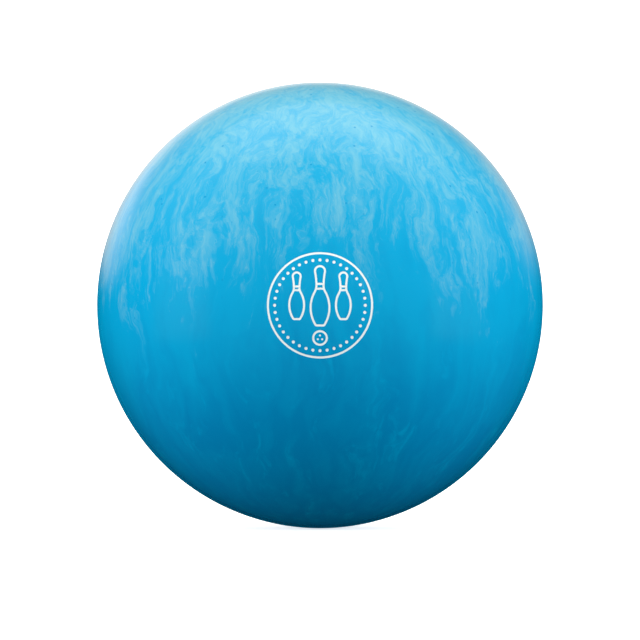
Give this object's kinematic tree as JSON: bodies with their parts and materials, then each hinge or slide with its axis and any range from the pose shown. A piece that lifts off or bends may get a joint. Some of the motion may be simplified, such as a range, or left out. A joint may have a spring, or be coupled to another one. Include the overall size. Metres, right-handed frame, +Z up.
{
  "type": "bowling ball",
  "caption": "Undrilled ten-pin bowling ball with a glossy swirled shell poured round a filler core and a dense weight block.",
  "frame": {"origin": "centre of the ball", "axes": "+Z up the weight block's axis to the locator pin; -Y out through the engraved emblem; +X to the right of someone facing the emblem"},
  "size_m": [0.218, 0.218, 0.218],
  "materials": {
    "cover_pearl_blue": "polished swirled resin, deep blue with lighter pearl wisps",
    "core_filler": "cast filler resin, plain",
    "weight_block_resin": "resin heavily loaded with mineral powder, plain",
    "pin_plastic": "polished flush with the cover",
    "engraving_paint": "white paint set in engraved grooves"
  },
  "bodies": {
    "root": {"coverstock": "cover_pearl_blue", "outer_core": "core_filler", "weight_block": "weight_block_resin", "locator_pin": "pin_plastic", "ring_paint": "engraving_paint", "bead_paint": "engraving_paint", "middle_tenpin_paint": "engraving_paint", "left_tenpin_paint": "engraving_paint", "right_tenpin_paint": "engraving_paint", "figure_ball_paint": "engraving_paint", "cg_mark_paint": "engraving_paint"}
  },
  "joints": []
}
